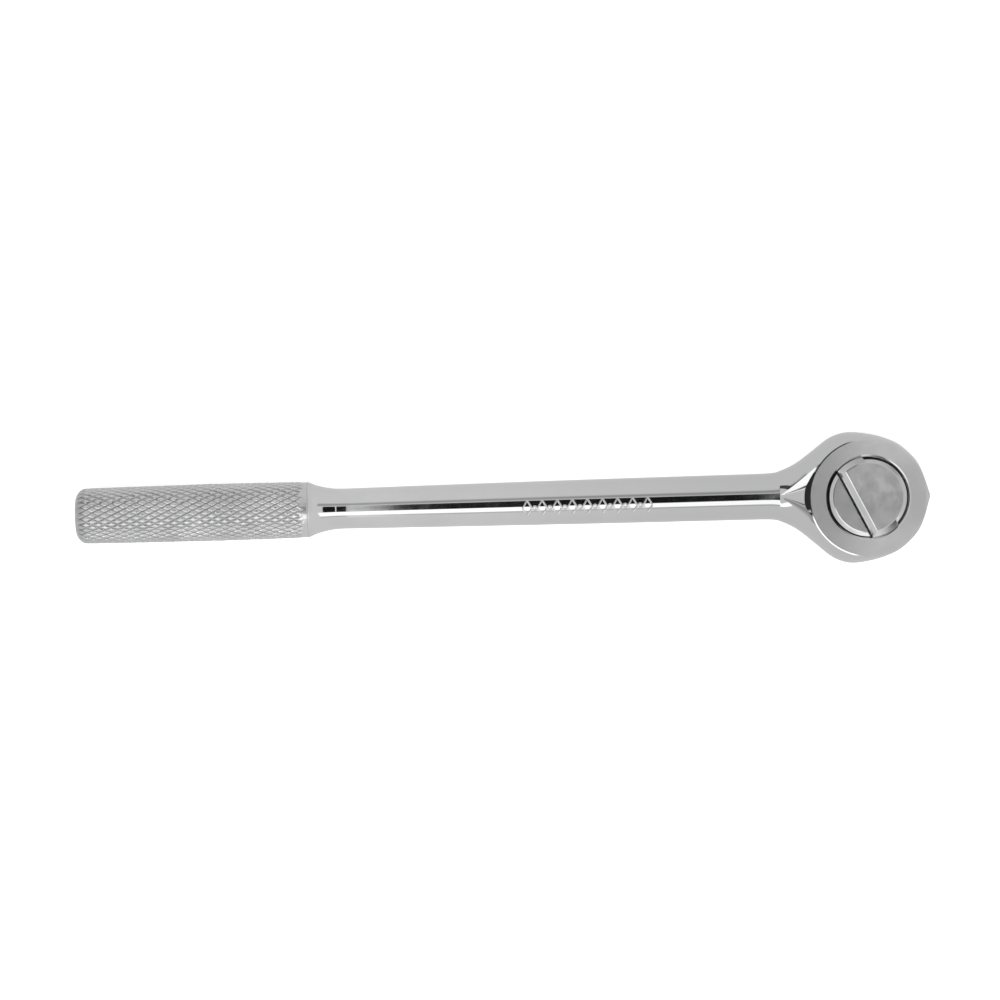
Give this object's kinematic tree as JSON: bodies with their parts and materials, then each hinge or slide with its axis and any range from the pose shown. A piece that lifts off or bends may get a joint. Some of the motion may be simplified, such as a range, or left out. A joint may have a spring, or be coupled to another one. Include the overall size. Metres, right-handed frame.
{
  "type": "ratchet wrench",
  "caption": "Reversible round-head ratchet wrench with a square drive, a turning reverser dial and a long knurled round handle.",
  "frame": {"origin": "centre of the square drive's flat tip, on the drive axis", "axes": "+Z along the drive axis toward the reverser dial; the handle runs toward -X"},
  "size_m": [0.1877, 0.0288, 0.0262],
  "materials": {
    "body_chrome": "polished chrome plate",
    "dial_chrome": "satin chrome plate",
    "drive_steel": "ground",
    "hard_steel": "hardened, bare",
    "spring_steel": "oiled",
    "bronze": "oiled",
    "black_rubber": "matt"
  },
  "bodies": {
    "handle": {"ratchet_body": "body_chrome", "cover_plate": "drive_steel", "retaining_ring": "spring_steel"},
    "dial": {"reverser_dial": "dial_chrome", "dial_friction_ring": "black_rubber", "plunger_spring": "spring_steel"},
    "plunger": {"plunger": "hard_steel"},
    "pawl": {"pawl": "hard_steel"},
    "drive": {"drive_gear": "drive_steel", "thrust_washer": "bronze", "tang_ball_spring": "spring_steel"},
    "ball": {"tang_ball": "hard_steel"}
  },
  "joints": [
    {"name": "drive_spin", "type": "hinge", "parent": "handle", "child": "drive", "pos_m": [0, 0, 0], "axis": [0, 0, 1], "continuous": true},
    {"name": "dial_turn", "type": "hinge", "parent": "handle", "child": "dial", "pos_m": [0, 0, 0], "axis": [0, 0, 1], "range_deg": [-53, 0]},
    {"name": "pawl_rock", "type": "hinge", "parent": "handle", "child": "pawl", "pos_m": [-0.0132, 0, 0], "axis": [0, 0, 1], "range_deg": [0, 16]},
    {"name": "plunger_slide", "type": "slide", "parent": "dial", "child": "plunger", "axis": [0.8949, 0.4462, 0], "range_m": [0, 0.0006], "stiffness_N_per_m": 500, "springref_m": -0.0006, "deforming": ["plunger_spring"]},
    {"name": "tang_ball_slide", "type": "slide", "parent": "drive", "child": "ball", "axis": [0, 1, 0], "range_m": [0, 0.0006], "stiffness_N_per_m": 1500, "springref_m": -0.0006, "deforming": ["tang_ball_spring"]}
  ],
  "couplings": [
    {"joint": "pawl_rock", "follows": "dial_turn", "ratio": -0.30189}
  ]
}
